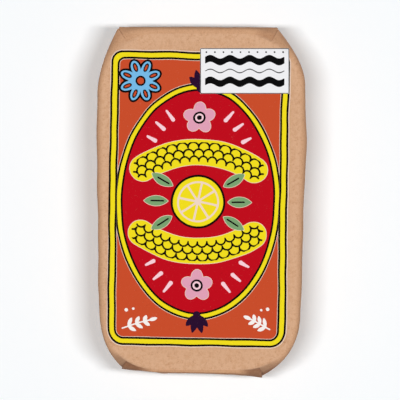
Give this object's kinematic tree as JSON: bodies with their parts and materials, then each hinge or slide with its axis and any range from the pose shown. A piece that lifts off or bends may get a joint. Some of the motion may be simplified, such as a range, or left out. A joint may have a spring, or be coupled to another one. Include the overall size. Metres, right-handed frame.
{
  "type": "wrapped sardine tin",
  "caption": "Shut flat tin of sardines wrapped in folded kraft paper with a printed front, lying on its back.",
  "frame": {"origin": "middle of the pack's footprint, on its back", "axes": "+Z out of the printed front, +Y towards the head of the print, +X to its right"},
  "size_m": [0.0634, 0.1064, 0.0251],
  "materials": {
    "kraft_wrapper": "uncoated kraft paper, printed on the front",
    "white_sticker": "smooth white label paper"
  },
  "bodies": {
    "root": {"wrapped_tin": "kraft_wrapper", "corner_sticker": "white_sticker"}
  },
  "joints": []
}
